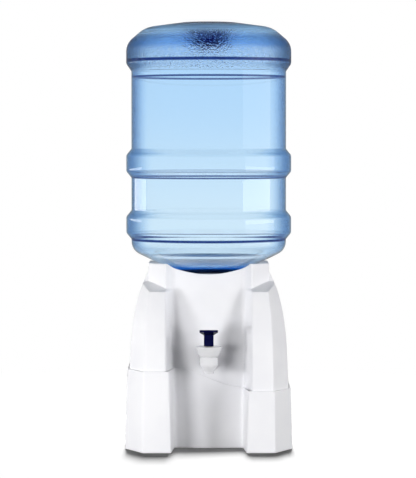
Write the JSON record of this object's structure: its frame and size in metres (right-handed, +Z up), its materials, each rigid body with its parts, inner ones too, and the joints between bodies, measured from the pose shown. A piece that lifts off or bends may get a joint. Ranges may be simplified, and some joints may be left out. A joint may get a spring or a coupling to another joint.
{
  "type": "countertop water dispenser",
  "caption": "Countertop gravity water dispenser: a white two-piece stand with a lever tap in a front niche, an inner reservoir and an upturned ribbed blue bottle.",
  "frame": {"origin": "on the table, under the axis of the bottle", "axes": "+Z up along the bottle's axis; the tap faces -Y; +X is to the right of someone facing the tap"},
  "size_m": [0.27, 0.27, 0.6911],
  "materials": {
    "shell_white": "satin moulded white",
    "inner_white": "plain moulded white",
    "tap_white": "gloss moulded white",
    "lever_navy": "gloss navy",
    "black_rubber": "matt",
    "silicone": "soft, milky",
    "steel": "bright zinc",
    "bottle_blue": "clear blue, glossy"
  },
  "bodies": {
    "stand": {"upper_housing": "shell_white", "lower_housing": "shell_white", "base_plate": "inner_white", "foot_front_left": "black_rubber", "foot_front_right": "black_rubber", "foot_rear_left": "black_rubber", "foot_rear_right": "black_rubber", "housing_screws": "steel", "base_screws": "steel", "bottle_seat": "inner_white", "seat_pad": "black_rubber", "reservoir": "inner_white", "reservoir_gasket": "black_rubber", "reservoir_screws": "steel", "tap_body": "tap_white", "tap_bonnet": "tap_white", "lever_pin": "steel", "shank_nut": "inner_white", "shank_washer_front": "black_rubber", "shank_washer_rear": "black_rubber", "return_spring": "steel"},
    "lever": {"tap_lever": "lever_navy"},
    "valve": {"valve_stem": "inner_white", "valve_plug": "silicone", "stem_oring": "black_rubber"},
    "bottle": {"bottle": "bottle_blue"}
  },
  "joints": [
    {"name": "lever_press", "type": "hinge", "parent": "stand", "child": "lever", "pos_m": [0, -0.107, 0.175], "axis": [1, 0, 0], "range_deg": [0, 18], "stiffness_Nm_per_rad": 0.2, "springref_deg": -20.05},
    {"name": "valve_lift", "type": "slide", "parent": "stand", "child": "valve", "axis": [0, 0, 1], "range_m": [0, 0.00255], "deforming": ["return_spring"]},
    {"name": "bottle_lift", "type": "slide", "parent": "stand", "child": "bottle", "axis": [0, 0, 1], "range_m": [0, 0.15]}
  ],
  "couplings": [
    {"joint": "valve_lift", "follows": "lever_press", "m_per_rad": 0.008}
  ]
}
